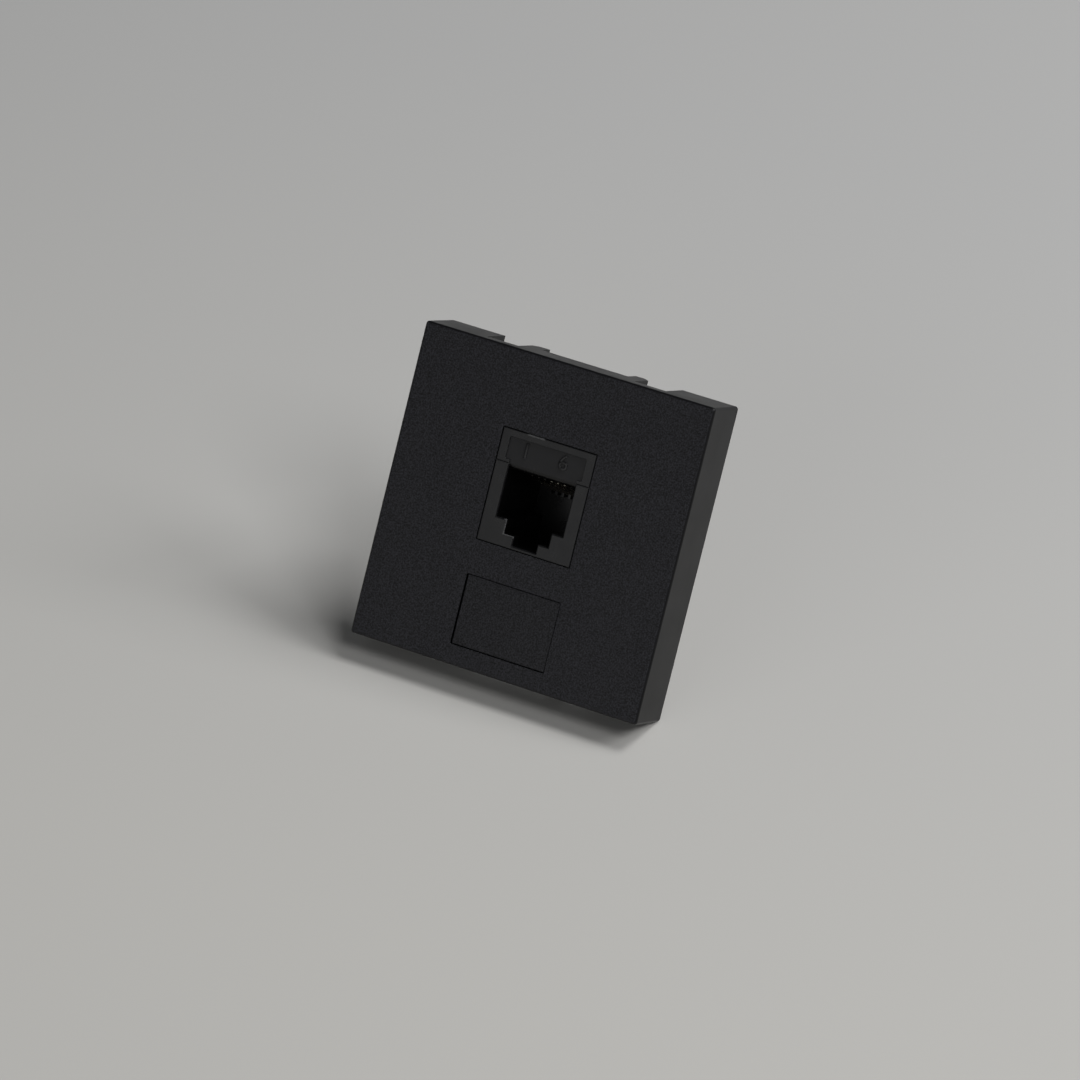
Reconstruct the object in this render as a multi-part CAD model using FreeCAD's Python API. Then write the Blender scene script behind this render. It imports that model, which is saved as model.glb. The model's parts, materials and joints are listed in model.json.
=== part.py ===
import FreeCAD
import Part

import math
import os

from FreeCAD import Vector

# Snap-in telephone jack module for a 45 mm mounting frame, with a six-position modular jack.
# Millimetres. X runs to the right as seen from the front, Y into the wall and Z up.
# The origin is the centre of the square module, on the plane of the skirt's rear rim.

# Face plate
MODULE = 45.0
SKIRT_DEPTH = 8.1
FACE_WALL = 2.2
SKIRT_WALL = 1.6
CORNER_RADIUS = 0.45
EDGE_RADIUS = 0.4
RIM_RADIUS = 0.08
WINDOW_EDGE_RADIUS = 0.06
RIB_HEIGHT = 1.1
RIB_WIDTH = 1.0
RIB_SPACING = 13.0

# Snap tongues in the top and bottom of the skirt
CLIP_OPENING = 27.8
TONGUE_WIDTH = 18.1
EAR_SETBACK = 0.3
EAR_LENGTH = 2.7
EAR_WIDTH = 2.35
EAR_CHAMFER = 0.9

# Label cover and its pocket, near the foot of the face
LABEL_WIDTH = 14.5
LABEL_HEIGHT = 10.02
LABEL_MARGIN = 2.9
LABEL_SIDE_GAP = 0.1
LABEL_END_GAP = 0.05
LABEL_SHIFT = 0.08
LABEL_LIFT = 0.025
LABEL_SINK = 0.08
LABEL_POCKET_DEPTH = 1.3
LABEL_EDGE_RADIUS = 0.15
LABEL_CORNER_RADIUS = 0.2
LEG_INSET = 1.2
LEG_THICKNESS = 0.9
LEG_WIDTH = 3.0
LEG_HOOK = 0.35
LEG_HOOK_LENGTH = 1.1
LEG_GAP = 0.1

# Jack nose, the part of housing and carrier that stands in the face plate's window
LABEL_TO_WINDOW = 4.9
NOSE_WIDTH = 14.55
NOSE_HEIGHT = 16.1
NOSE_GAP = 0.07
NOSE_EDGE_RADIUS = 0.15
BAND_HEIGHT = 4.71
BAND_DEPTH = 1.5
PARTING_GAP = 0.05
SEAM_CHAMFER = 0.08

# Collar behind the window, with the rails that the jack snaps on
COLLAR_WALL = 1.3
COLLAR_DEPTH = 10.4
RAIL_THICKNESS = 1.5
RELIEF_GAP = 0.4
CATCH_GAP = 0.12

# Plug port, stepped at its foot for the plug's latch
PORT_WIDTH = 10.4
PORT_FLOOR = 3.83
PORT_REAR_WALL = 2.0
LATCH_STEP_WIDTH = 6.95
LATCH_STEP_FLOOR = 1.79
LATCH_SLOT_WIDTH = 3.72
LATCH_SLOT_FLOOR = 0.48
LATCH_LIP = 1.7
LATCH_SHOULDER = 0.3
MOUTH_RADIUS = 0.2

# Stop flange, fixed lug and barbs of the housing
FLANGE_THICKNESS = 1.0
FLANGE_REACH = 1.1
LUG_WIDTH = 8.0
LUG_HEIGHT = 1.5
LUG_LENGTH = 2.2
LUG_RAMP = 1.2
BARB_GAP = 0.15
BARB_HEIGHT = 0.75

# Carrier above the port: lip, recessed field that runs down into it, and flexible latch
LIP_DROP = 0.83
LIP_THICKNESS = 1.7
LIP_RADIUS = 1.2
FIELD_WIDTH = 11.9
FIELD_HEIGHT = 3.22
FIELD_DEPTH = 0.2
FIELD_FOOT = 0.5
CARRIER_WALL = 1.15
LATCH_WIDTH = 8.0
LATCH_THICKNESS = 1.0
LATCH_SIDE_GAP = 0.5
LATCH_RECESS = 0.12
LATCH_HOOK_HEIGHT = 1.4
LATCH_RAMP = 4.0
LATCH_TAIL = 3.2
LATCH_GRIPS = 3
LATCH_GRIP_PITCH = 0.8
LATCH_GRIP_HEIGHT = 0.3

# Contact wires, their grooves and the comb at their free ends
CONTACTS = 6
CONTACT_PITCH = 1.02
WIRE_DIAMETER = 0.45
WIRE_SIDES = 8
WIRE_LEVEL = 0.3
WIRE_BEND_RADIUS = 0.8
WIRE_BEND_GAP = 0.7
WIRE_SLOPE_DEG = 14.5
WIRE_END_GAP = 0.55
WIRE_TAIL = 0.5
GROOVE_GAP = 0.085
COMB_THICKNESS = 1.5
COMB_BELOW = 0.5

# Circuit board
BOARD_THICKNESS = 1.6
BOARD_GAP = 0.1
WIRE_HOLE_GAP = 0.15
TAIL_HOLE_GAP = 0.12

# Terminal block: tray round the board, snap arms and two rows of slotted towers that face the rear
BLOCK_WALL = 0.9
BLOCK_BASE = 4.9
BLOCK_EDGE_RADIUS = 0.5
SOLDER_ROOM = 0.7
ARM_SIDE_GAP = 0.25
ARM_WIDTH = 7.0
ARM_GAP = 0.2
ARM_BAR = 0.9
ARM_WINDOW_LENGTH = 1.7
ARM_WINDOW_WIDTH = 4.4
ARM_ROOT = 0.4
ROW_NAMES = {-1: "lower", 1: "upper"}
ROW_SPACING = 13.8
WAYS = 3
WAY_PITCH = 4.0
WAY_SLOT = 1.2
WAY_SLOT_DEPTH = 7.0
WAY_MOUTH = 2.4
WAY_MOUTH_DEPTH = 1.7
TOWER_THICKNESS = 3.6
TOWER_LENGTH = 9.5
TOWER_TIP = 1.4
TOWER_TAPER = 2.0

# Forked terminal blades
BLADE_WIDTH = 2.6
BLADE_THICKNESS = 0.4
BLADE_SIDE_GAP = 0.2
BLADE_FACE_GAP = 0.05
BLADE_SETBACK = 2.0
BLADE_SLOT = 0.32
BLADE_SLOT_DEPTH = 5.2
BLADE_MOUTH = 1.2
BLADE_MOUTH_DEPTH = 0.9
TAIL_WIDTH = 0.8
TAIL_SETBACK = 0.2

# Terminal caps
CAP_WALL = 1.0
CAP_ROOF = 1.35
CAP_REAR = 1.2
CAP_GAP = 0.22
CAP_ROOM = 3.8
CAP_STANDOFF = 2.0
CAP_EDGE_RADIUS = 0.6
CAP_WIRE_SLOT = 1.7
CAP_WIRE_SLOT_DEPTH = 5.5
PUSHER_GAP = 0.15
PUSHER_REACH = 1.5
PUSHER_BLADE_GAP = 0.25
CAP_GRIPS = 3
CAP_GRIP_PITCH = 1.5
CAP_GRIP_DEPTH = 0.3
CAP_GRIP_WIDTH = 0.7
CAP_GRIP_INSET = 1.6

# Planes across Y, from the face to the caps
SEAT = 0.0
FRONT = SEAT - SKIRT_DEPTH
FACE_BACK = FRONT + FACE_WALL
COLLAR_REAR = FRONT + COLLAR_DEPTH
RAIL_FRONT = COLLAR_REAR - RAIL_THICKNESS
FLANGE_REAR = COLLAR_REAR + FLANGE_THICKNESS
ARM_FRONT = FLANGE_REAR + ARM_GAP
ARM_WINDOW_FRONT = ARM_FRONT + ARM_BAR
ARM_WINDOW_REAR = ARM_WINDOW_FRONT + ARM_WINDOW_LENGTH
BOARD_FRONT = ARM_WINDOW_REAR + ARM_ROOT
PORT_END = BOARD_FRONT - PORT_REAR_WALL
BOARD_REAR = BOARD_FRONT + BOARD_THICKNESS
BASE_REAR = BOARD_REAR + BLOCK_BASE
TOWER_REAR = BASE_REAR + TOWER_LENGTH
BLADE_REAR = TOWER_REAR - BLADE_SETBACK
CAP_FRONT = BASE_REAR + CAP_STANDOFF
CAP_INSIDE = TOWER_REAR + CAP_ROOM
CAP_END = CAP_INSIDE + CAP_REAR

# Levels along Z, from the foot of the face upwards
POCKET_FOOT = LABEL_MARGIN - MODULE / 2
POCKET_HEIGHT = LABEL_HEIGHT + 2 * LABEL_END_GAP
POCKET_LEVEL = POCKET_FOOT + POCKET_HEIGHT / 2
LABEL_LEVEL = POCKET_LEVEL + LABEL_LIFT
NOSE_FOOT = POCKET_FOOT + POCKET_HEIGHT + LABEL_TO_WINDOW + NOSE_GAP
NOSE_TOP = NOSE_FOOT + NOSE_HEIGHT
JACK_LEVEL = NOSE_FOOT + NOSE_HEIGHT / 2
PARTING = NOSE_TOP - BAND_HEIGHT
ARM_LEVEL = (NOSE_FOOT + PARTING) / 2
RELIEF_HEIGHT = max(LUG_HEIGHT, LATCH_HOOK_HEIGHT) + RELIEF_GAP
WIRE_Z = PARTING + WIRE_LEVEL
GROOVE_TOP = WIRE_Z + WIRE_DIAMETER / 2
CARRIER_TOP = GROOVE_TOP + CARRIER_WALL

# Widths and heights that follow from their neighbours
GROOVE_WIDTH = WIRE_DIAMETER + 2 * GROOVE_GAP
ARM_INNER = NOSE_WIDTH / 2 + ARM_SIDE_GAP
BOARD_WIDTH = 2 * (ARM_INNER - BOARD_GAP)
BLOCK_WIDTH = 2 * (ARM_INNER + BLOCK_WALL)
CAP_HEIGHT = TOWER_THICKNESS + 2 * (CAP_GAP + CAP_ROOF)
BLOCK_HEIGHT = ROW_SPACING + CAP_HEIGHT
BOARD_HEIGHT = BLOCK_HEIGHT - 2 * (BLOCK_WALL + BOARD_GAP)
TOWER_WIDTH = BLOCK_WIDTH - 2 * (CAP_WALL + CAP_GAP)

# How far a cutting solid runs past the face that it cuts, and the tolerance for picking edges
OVERCUT = 1.0
TOUCH = 1e-3


def closed_face(corners):
    """Flat face inside a closed polygon."""
    return Part.Face(Part.makePolygon(corners + corners[:1]))


def prism_x(outline, x0, x1):
    """Solid of a Y-Z outline that runs from x0 to x1."""
    face = closed_face([Vector(x0, y, z) for y, z in outline])
    return face.extrude(Vector(x1 - x0, 0, 0))


def prism_y(outline, y0, y1):
    """Solid of an X-Z outline that runs from y0 to y1."""
    face = closed_face([Vector(x, y0, z) for x, z in outline])
    return face.extrude(Vector(0, y1 - y0, 0))


def prism_z(outline, z0, z1):
    """Solid of an X-Y outline that runs from z0 to z1."""
    face = closed_face([Vector(x, y, z0) for x, y in outline])
    return face.extrude(Vector(0, 0, z1 - z0))


def rectangle(left, right, low, high):
    """Corners of a rectangle, in order round it."""
    return [(left, low), (right, low), (right, high), (left, high)]


def centred(half_width, low, high):
    """Rectangle centred across the first axis."""
    return rectangle(-half_width, half_width, low, high)


def rounded_block(width, height, radius, level, y0, y1, x=0.0):
    """Block along Y whose four long edges are rounded."""
    outline = rectangle(x - width / 2, x + width / 2, level - height / 2, level + height / 2)
    block = prism_y(outline, y0, y1)
    long_edges = [e for e in block.Edges if e.BoundBox.YLength > TOUCH]
    return block.makeFillet(radius, long_edges)


def edges_on_plane(shape, y):
    """Edges that lie wholly on the plane at y."""
    return [e for e in shape.Edges if all(abs(v.Y - y) < TOUCH for v in e.Vertexes)
            and abs(e.CenterOfMass.y - y) < TOUCH]


def both_sides(shape):
    """The shape and its mirror image across the middle plane."""
    return [shape, shape.mirror(Vector(0, 0, 0), Vector(1, 0, 0))]


def spread(count, pitch):
    """Evenly spaced places about zero."""
    return [(i - (count - 1) / 2) * pitch for i in range(count)]


def row_level(row):
    """Z of the middle of a terminal row."""
    return JACK_LEVEL + row * ROW_SPACING / 2


def way_places():
    """X and Z of every way of the terminal block."""
    return [(x, row_level(row)) for row in ROW_NAMES for x in spread(WAYS, WAY_PITCH)]


def clip_cutter():
    """What is taken out of the top of the skirt to leave a free tongue with two ears."""
    tongue = TONGUE_WIDTH / 2
    ear_end = SEAT - EAR_SETBACK
    right = [
        (tongue - EAR_WIDTH, ear_end - EAR_LENGTH),
        (tongue - EAR_WIDTH, ear_end),
        (tongue - EAR_CHAMFER, ear_end),
        (tongue, ear_end - EAR_CHAMFER),
        (tongue, FACE_BACK),
        (CLIP_OPENING / 2, FACE_BACK),
        (CLIP_OPENING / 2, SEAT + OVERCUT),
    ]
    left = [(-x, y) for x, y in reversed(right)]
    return prism_z(left + right, MODULE / 2 - SKIRT_WALL - OVERCUT, MODULE / 2 + OVERCUT)


def collar():
    """Frame behind the window, with relief in front of its rails for the jack's lug and latch."""
    half = NOSE_WIDTH / 2 + NOSE_GAP
    low = NOSE_FOOT - NOSE_GAP
    high = NOSE_TOP + NOSE_GAP
    wall = RELIEF_HEIGHT + COLLAR_WALL
    frame = prism_y(centred(half + COLLAR_WALL, low - wall, high + wall), FACE_BACK, COLLAR_REAR)
    relief = prism_y(centred(half, low - RELIEF_HEIGHT, high + RELIEF_HEIGHT), FACE_BACK, RAIL_FRONT)
    opening = prism_y(centred(half, low, high), FACE_BACK, COLLAR_REAR + OVERCUT)
    return frame.cut([relief, opening])


def stiffening_ribs():
    """Low ribs across the back of the face, out to the sides of the skirt."""
    inner = NOSE_WIDTH / 2 + NOSE_GAP + COLLAR_WALL
    outer = MODULE / 2 - SKIRT_WALL
    ribs = []
    for level in spread(3, RIB_SPACING):
        outline = rectangle(inner, outer, level - RIB_WIDTH / 2, level + RIB_WIDTH / 2)
        ribs += both_sides(prism_y(outline, FACE_BACK, FACE_BACK + RIB_HEIGHT))
    return ribs


def label_leg_places():
    """Middle of each snap leg of the label cover across X, and the side it faces."""
    reach = LABEL_WIDTH / 2 - LEG_INSET
    return [(LABEL_SHIFT + side * reach, side) for side in (-1, 1)]


def label_leg_slots():
    """Slots in the pocket floor that the label cover's legs spring through."""
    half = LEG_WIDTH / 2 + LEG_GAP
    slots = []
    for x, side in label_leg_places():
        inner = x - side * (LEG_THICKNESS / 2 + LEG_GAP + LEG_HOOK)
        outer = x + side * (LEG_THICKNESS / 2 + LEG_GAP)
        outline = rectangle(inner, outer, LABEL_LEVEL - half, LABEL_LEVEL + half)
        slots.append(prism_y(outline, FRONT, FACE_BACK + OVERCUT))
    return slots


def face_plate():
    """Square cover with its skirt, snap tongues, jack window, collar and label pocket, moulded in one."""
    block = rounded_block(MODULE, MODULE, CORNER_RADIUS, 0.0, FRONT, SEAT)
    block = block.makeFillet(EDGE_RADIUS, edges_on_plane(block, FRONT))
    block = block.makeFillet(RIM_RADIUS, edges_on_plane(block, SEAT))
    inside = MODULE - 2 * SKIRT_WALL
    plate = block.cut(rounded_block(inside, inside, CORNER_RADIUS, 0.0, FACE_BACK, SEAT + OVERCUT))
    cutter = clip_cutter()
    plate = plate.cut([cutter, cutter.mirror(Vector(0, 0, 0), Vector(0, 0, 1))])
    plate = plate.fuse([collar()] + stiffening_ribs())
    window = rounded_block(NOSE_WIDTH + 2 * NOSE_GAP, NOSE_HEIGHT + 2 * NOSE_GAP, NOSE_EDGE_RADIUS, JACK_LEVEL,
                           FRONT - OVERCUT, FACE_BACK)
    pocket = rounded_block(LABEL_WIDTH + 2 * LABEL_SIDE_GAP, POCKET_HEIGHT, LABEL_CORNER_RADIUS, POCKET_LEVEL,
                           FRONT - OVERCUT, FRONT + LABEL_POCKET_DEPTH)
    plate = plate.cut([window, pocket] + label_leg_slots()).removeSplitter()
    flat_half = MODULE / 2 - EDGE_RADIUS - TOUCH
    rims = [e for e in edges_on_plane(plate, FRONT)
            if max(abs(e.CenterOfMass.x), abs(e.CenterOfMass.z)) < flat_half]
    return plate.makeFillet(WINDOW_EDGE_RADIUS, rims)


def label_cover():
    """Blank cover in the label pocket, held by two snap legs behind the face."""
    front = FRONT + LABEL_SINK
    floor = FRONT + LABEL_POCKET_DEPTH
    tile = rounded_block(LABEL_WIDTH, LABEL_HEIGHT, LABEL_CORNER_RADIUS, LABEL_LEVEL, front, floor, LABEL_SHIFT)
    tile = tile.makeFillet(LABEL_EDGE_RADIUS, edges_on_plane(tile, front))
    hook_front = FACE_BACK + LEG_GAP
    leg_end = hook_front + LEG_HOOK_LENGTH
    legs = []
    for x, side in label_leg_places():
        outer = x + side * LEG_THICKNESS / 2
        inner = x - side * LEG_THICKNESS / 2
        hook_tip = outer + side * (LEG_HOOK + LEG_GAP)
        outline = [(inner, floor), (outer, floor), (outer, hook_front), (hook_tip, hook_front),
                   (outer, leg_end), (inner, leg_end)]
        legs.append(prism_z(outline, LABEL_LEVEL - LEG_WIDTH / 2, LABEL_LEVEL + LEG_WIDTH / 2))
    return tile.fuse(legs).removeSplitter()


def port_cavity():
    """Space for the plug: stepped mouth, then a chamber with a pocket behind the latch lip."""
    port = PORT_WIDTH / 2
    step = LATCH_STEP_WIDTH / 2
    slot = LATCH_SLOT_WIDTH / 2
    pocket = step + LATCH_SHOULDER
    port_floor = NOSE_FOOT + PORT_FLOOR
    step_floor = NOSE_FOOT + LATCH_STEP_FLOOR
    slot_floor = NOSE_FOOT + LATCH_SLOT_FLOOR
    top = PARTING + OVERCUT
    mouth = [(slot, slot_floor), (slot, step_floor), (step, step_floor), (step, port_floor),
             (port, port_floor), (port, top)]
    chamber = [(pocket, slot_floor), (pocket, port_floor), (port, port_floor), (port, top)]
    spaces = []
    for right, y0, y1 in ((mouth, FRONT - OVERCUT, FRONT + LATCH_LIP), (chamber, FRONT + LATCH_LIP, PORT_END)):
        left = [(-x, z) for x, z in reversed(right)]
        spaces.append(prism_y(left + right, y0, y1))
    return spaces


def wire_guide():
    """Comb at the back of the port that keeps the free ends of the wires apart."""
    foot = wire_points()[-1][1] - COMB_BELOW
    front = PORT_END - COMB_THICKNESS
    half = (CONTACTS * CONTACT_PITCH + GROOVE_WIDTH) / 2
    comb = prism_y(centred(half, foot, PARTING), front, PORT_END)
    slots = []
    for x in spread(CONTACTS, CONTACT_PITCH):
        outline = rectangle(x - GROOVE_WIDTH / 2, x + GROOVE_WIDTH / 2, foot - OVERCUT, PARTING + OVERCUT)
        slots.append(prism_y(outline, front - OVERCUT, PORT_END))
    return comb.cut(slots)


def side_barb():
    """Wedge on the housing's right flank that the terminal block's arm snaps over."""
    side = NOSE_WIDTH / 2
    front = ARM_WINDOW_FRONT + BARB_GAP
    rear = ARM_WINDOW_REAR - BARB_GAP
    half = ARM_WINDOW_WIDTH / 2 - BARB_GAP
    outline = [(side, front), (side + BARB_HEIGHT, front), (side, rear)]
    return prism_z(outline, ARM_LEVEL - half, ARM_LEVEL + half)


def seam_wedge():
    """What is taken off the housing's upper front edge to open the seam below the band."""
    reach = NOSE_WIDTH / 2 + OVERCUT
    outline = [(FRONT - OVERCUT, PARTING - SEAM_CHAMFER - OVERCUT), (FRONT - OVERCUT, PARTING + OVERCUT),
               (FRONT + SEAM_CHAMFER + OVERCUT, PARTING + OVERCUT)]
    return prism_x(outline, -reach, reach)


def jack_housing():
    """Lower moulding of the jack: the plug port, the fixed lug and the stops behind the collar."""
    half = NOSE_WIDTH / 2
    body = prism_y(centred(half, NOSE_FOOT, PARTING), FRONT, BOARD_FRONT)
    front_edges = [e for e in edges_on_plane(body, FRONT) if e.CenterOfMass.z < PARTING - TOUCH]
    body = body.makeFillet(NOSE_EDGE_RADIUS, front_edges)
    flange = prism_y(centred(half + FLANGE_REACH, NOSE_FOOT - LUG_HEIGHT, PARTING), COLLAR_REAR, FLANGE_REAR)
    lug_rear = RAIL_FRONT - CATCH_GAP
    lug_front = lug_rear - LUG_LENGTH
    lug = prism_x([(lug_front, NOSE_FOOT), (lug_rear, NOSE_FOOT), (lug_rear, NOSE_FOOT - LUG_HEIGHT),
                   (lug_front + LUG_RAMP, NOSE_FOOT - LUG_HEIGHT)], -LUG_WIDTH / 2, LUG_WIDTH / 2)
    body = body.fuse([flange, lug] + both_sides(side_barb()))
    body = body.cut(port_cavity() + [seam_wedge()]).removeSplitter()
    mouth = [e for e in edges_on_plane(body, FRONT) if abs(e.CenterOfMass.x) < PORT_WIDTH / 2 + TOUCH
             and NOSE_FOOT + NOSE_EDGE_RADIUS + TOUCH < e.CenterOfMass.z < PARTING - TOUCH]
    return body.makeFillet(MOUTH_RADIUS, mouth).fuse(wire_guide()).removeSplitter()


def flexible_latch():
    """Springy arm from the band to the rear, with its hook in front of the top rail and a ridged end."""
    root = FRONT + BAND_DEPTH
    top = NOSE_TOP - LATCH_RECESS
    foot = top - LATCH_THICKNESS
    catch = RAIL_FRONT - CATCH_GAP
    tail = COLLAR_REAR + LATCH_TAIL
    outline = [(root, foot), (tail, foot), (tail, top)]
    for i in range(LATCH_GRIPS):
        ridge = tail - (i + 0.5) * LATCH_GRIP_PITCH
        outline += [(ridge, top + LATCH_GRIP_HEIGHT), (ridge - LATCH_GRIP_PITCH / 2, top)]
    outline += [(catch, top), (catch, top + LATCH_HOOK_HEIGHT), (catch - LATCH_RAMP, top), (root, top)]
    return prism_x(outline, -LATCH_WIDTH / 2, LATCH_WIDTH / 2)


def wire_grooves():
    """Grooves under the carrier that the contact wires are laid in."""
    grooves = []
    for x in spread(CONTACTS, CONTACT_PITCH):
        outline = rectangle(x - GROOVE_WIDTH / 2, x + GROOVE_WIDTH / 2, PARTING - OVERCUT, GROOVE_TOP)
        grooves.append(prism_y(outline, FRONT + LIP_THICKNESS, BOARD_FRONT + OVERCUT))
    return grooves


def contact_carrier():
    """Upper moulding of the jack: the band above the port, the wire grooves and the flexible latch."""
    half = NOSE_WIDTH / 2
    port = PORT_WIDTH / 2
    body = prism_y(centred(half, PARTING, NOSE_TOP), FRONT, BOARD_FRONT)
    front_edges = [e for e in edges_on_plane(body, FRONT) if e.CenterOfMass.z > PARTING + TOUCH]
    body = body.makeFillet(NOSE_EDGE_RADIUS, front_edges)
    flange = prism_y(centred(half + FLANGE_REACH, PARTING, NOSE_TOP - LATCH_RECESS), COLLAR_REAR, FLANGE_REAR)
    field_floor = FRONT + FIELD_DEPTH
    field_foot = PARTING + FIELD_FOOT
    lip_back = FRONT + LIP_THICKNESS
    lip_room = prism_y(centred(port, PARTING - OVERCUT, field_foot), FRONT - OVERCUT, lip_back)
    lip = prism_y(centred(port, PARTING - LIP_DROP, field_foot), field_floor, lip_back)
    lip_edge = [e for e in edges_on_plane(lip, field_floor) if e.BoundBox.ZMax < PARTING - TOUCH]
    lip = lip.makeFillet(LIP_RADIUS, lip_edge)
    seam_top = PARTING + PARTING_GAP
    seam = prism_x([(FRONT - OVERCUT, PARTING - OVERCUT), (FRONT + BAND_DEPTH, PARTING - OVERCUT),
                    (FRONT + BAND_DEPTH, seam_top), (FRONT + SEAM_CHAMFER, seam_top),
                    (FRONT - OVERCUT, seam_top + SEAM_CHAMFER + OVERCUT)], port, half + OVERCUT)
    field = rounded_block(FIELD_WIDTH, FIELD_HEIGHT, FIELD_DEPTH, field_foot + FIELD_HEIGHT / 2,
                          FRONT - OVERCUT, field_floor)
    trough = prism_y(centred(LATCH_WIDTH / 2 + LATCH_SIDE_GAP, CARRIER_TOP, NOSE_TOP + OVERCUT),
                     FRONT + BAND_DEPTH, BOARD_FRONT + OVERCUT)
    carrier = body.fuse(flange).cut([field, trough, lip_room] + both_sides(seam) + wire_grooves())
    return carrier.fuse([lip, flexible_latch()]).removeSplitter()


def wire_points():
    """Y and Z of a contact wire's lead end, bend start, bend middle, bend end and free tip."""
    slope = math.radians(WIRE_SLOPE_DEG)
    centre_y = FRONT + LIP_THICKNESS + WIRE_BEND_GAP + WIRE_DIAMETER / 2 + WIRE_BEND_RADIUS
    centre_z = WIRE_Z - WIRE_BEND_RADIUS
    points = [(BOARD_REAR + WIRE_TAIL, WIRE_Z)]
    for share in (0.0, 0.5, 1.0):
        angle = math.pi / 2 + share * (math.pi - slope)
        points.append((centre_y + WIRE_BEND_RADIUS * math.cos(angle), centre_z + WIRE_BEND_RADIUS * math.sin(angle)))
    end_y, end_z = points[-1]
    tip_y = PORT_END - WIRE_END_GAP
    points.append((tip_y, end_z - (tip_y - end_y) * math.tan(slope)))
    return points


def contact_wire(x):
    """Spring wire: straight lead from the board, hairpin bend, then a free arm that slopes into the port."""
    lead_end, bend_start, bend_middle, bend_end, tip = [Vector(x, y, z) for y, z in wire_points()]
    path = Part.Wire([
        Part.LineSegment(lead_end, bend_start).toShape(),
        Part.Arc(bend_start, bend_middle, bend_end).toShape(),
        Part.LineSegment(bend_end, tip).toShape(),
    ])
    corner = WIRE_DIAMETER / 2 / math.cos(math.pi / WIRE_SIDES)
    turns = [(2 * i + 1) * math.pi / WIRE_SIDES for i in range(WIRE_SIDES)]
    corners = [lead_end + Vector(corner * math.sin(turn), 0, corner * math.cos(turn)) for turn in turns]
    section = Part.makePolygon(corners + corners[:1])
    return path.makePipeShell([section], True, False)


def circuit_board():
    """Board that joins the contact wires to the terminal blades, with a hole for each."""
    half_height = BOARD_HEIGHT / 2
    board = prism_y(centred(BOARD_WIDTH / 2, JACK_LEVEL - half_height, JACK_LEVEL + half_height),
                    BOARD_FRONT, BOARD_REAR)
    start = BOARD_FRONT - OVERCUT
    length = BOARD_THICKNESS + 2 * OVERCUT
    hole_radius = WIRE_DIAMETER / 2 + WIRE_HOLE_GAP
    holes = [Part.makeCylinder(hole_radius, length, Vector(x, start, WIRE_Z), Vector(0, 1, 0))
             for x in spread(CONTACTS, CONTACT_PITCH)]
    half = TAIL_WIDTH / 2 + TAIL_HOLE_GAP
    rise = BLADE_THICKNESS / 2 + TAIL_HOLE_GAP
    for x, level in way_places():
        holes.append(prism_y(rectangle(x - half, x + half, level - rise, level + rise), start, start + length))
    return board.cut(holes)


def snap_arm():
    """Right-hand arm of the terminal block, with the window that takes the housing's barb."""
    outer = ARM_INNER + BLOCK_WALL
    arm = prism_z(rectangle(ARM_INNER, outer, ARM_FRONT, BOARD_FRONT),
                  ARM_LEVEL - ARM_WIDTH / 2, ARM_LEVEL + ARM_WIDTH / 2)
    window = prism_z(rectangle(ARM_INNER - OVERCUT, outer + OVERCUT, ARM_WINDOW_FRONT, ARM_WINDOW_REAR),
                     ARM_LEVEL - ARM_WINDOW_WIDTH / 2, ARM_LEVEL + ARM_WINDOW_WIDTH / 2)
    return arm.cut(window)


def tower_row(level):
    """One row of terminal towers with tapered tips."""
    half = TOWER_THICKNESS / 2
    tip = TOWER_TIP / 2
    shoulder = TOWER_REAR - TOWER_TAPER
    outline = [(BASE_REAR, level - half), (shoulder, level - half), (TOWER_REAR, level - tip),
               (TOWER_REAR, level + tip), (shoulder, level + half), (BASE_REAR, level + half)]
    return prism_x(outline, -TOWER_WIDTH / 2, TOWER_WIDTH / 2)


def way_cutters(x, level):
    """Funnelled wire slot and the thin slit for the blade, at one way of a row."""
    slot = WAY_SLOT / 2
    mouth = WAY_MOUTH / 2
    foot = TOWER_REAR - WAY_SLOT_DEPTH
    funnel = TOWER_REAR - WAY_MOUTH_DEPTH
    beyond = TOWER_REAR + OVERCUT
    outline = [(x - slot, foot), (x + slot, foot), (x + slot, funnel), (x + mouth, TOWER_REAR),
               (x + mouth, beyond), (x - mouth, beyond), (x - mouth, TOWER_REAR), (x - slot, funnel)]
    reach = TOWER_THICKNESS / 2 + OVERCUT
    wire_slot = prism_z(outline, level - reach, level + reach)
    half = BLADE_WIDTH / 2 + BLADE_SIDE_GAP
    rise = BLADE_THICKNESS / 2 + BLADE_FACE_GAP
    slit = prism_z(rectangle(x - half, x + half, BOARD_REAR - OVERCUT, BLADE_REAR + BLADE_SIDE_GAP),
                   level - rise, level + rise)
    return [wire_slot, slit]


def terminal_block():
    """Rear moulding: a tray round the board, two snap arms and two rows of slotted towers."""
    block = rounded_block(BLOCK_WIDTH, BLOCK_HEIGHT, BLOCK_EDGE_RADIUS, JACK_LEVEL, BOARD_FRONT, BASE_REAR)
    block = block.makeFillet(BLOCK_EDGE_RADIUS, edges_on_plane(block, BASE_REAR))
    block = block.fuse([tower_row(row_level(row)) for row in ROW_NAMES] + both_sides(snap_arm()))
    tray_half = BOARD_HEIGHT / 2 + BOARD_GAP
    tray = prism_y(centred(ARM_INNER, JACK_LEVEL - tray_half, JACK_LEVEL + tray_half),
                   BOARD_FRONT - OVERCUT, BOARD_REAR)
    solder_half = CONTACTS * CONTACT_PITCH / 2 + SOLDER_ROOM
    solder_rise = WIRE_DIAMETER / 2 + SOLDER_ROOM
    solder_pocket = prism_y(centred(solder_half, WIRE_Z - solder_rise, WIRE_Z + solder_rise),
                            BOARD_REAR - OVERCUT, BOARD_REAR + WIRE_TAIL + SOLDER_ROOM)
    cutters = [tray, solder_pocket]
    for x, level in way_places():
        cutters += way_cutters(x, level)
    return block.cut(cutters).removeSplitter()


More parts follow.
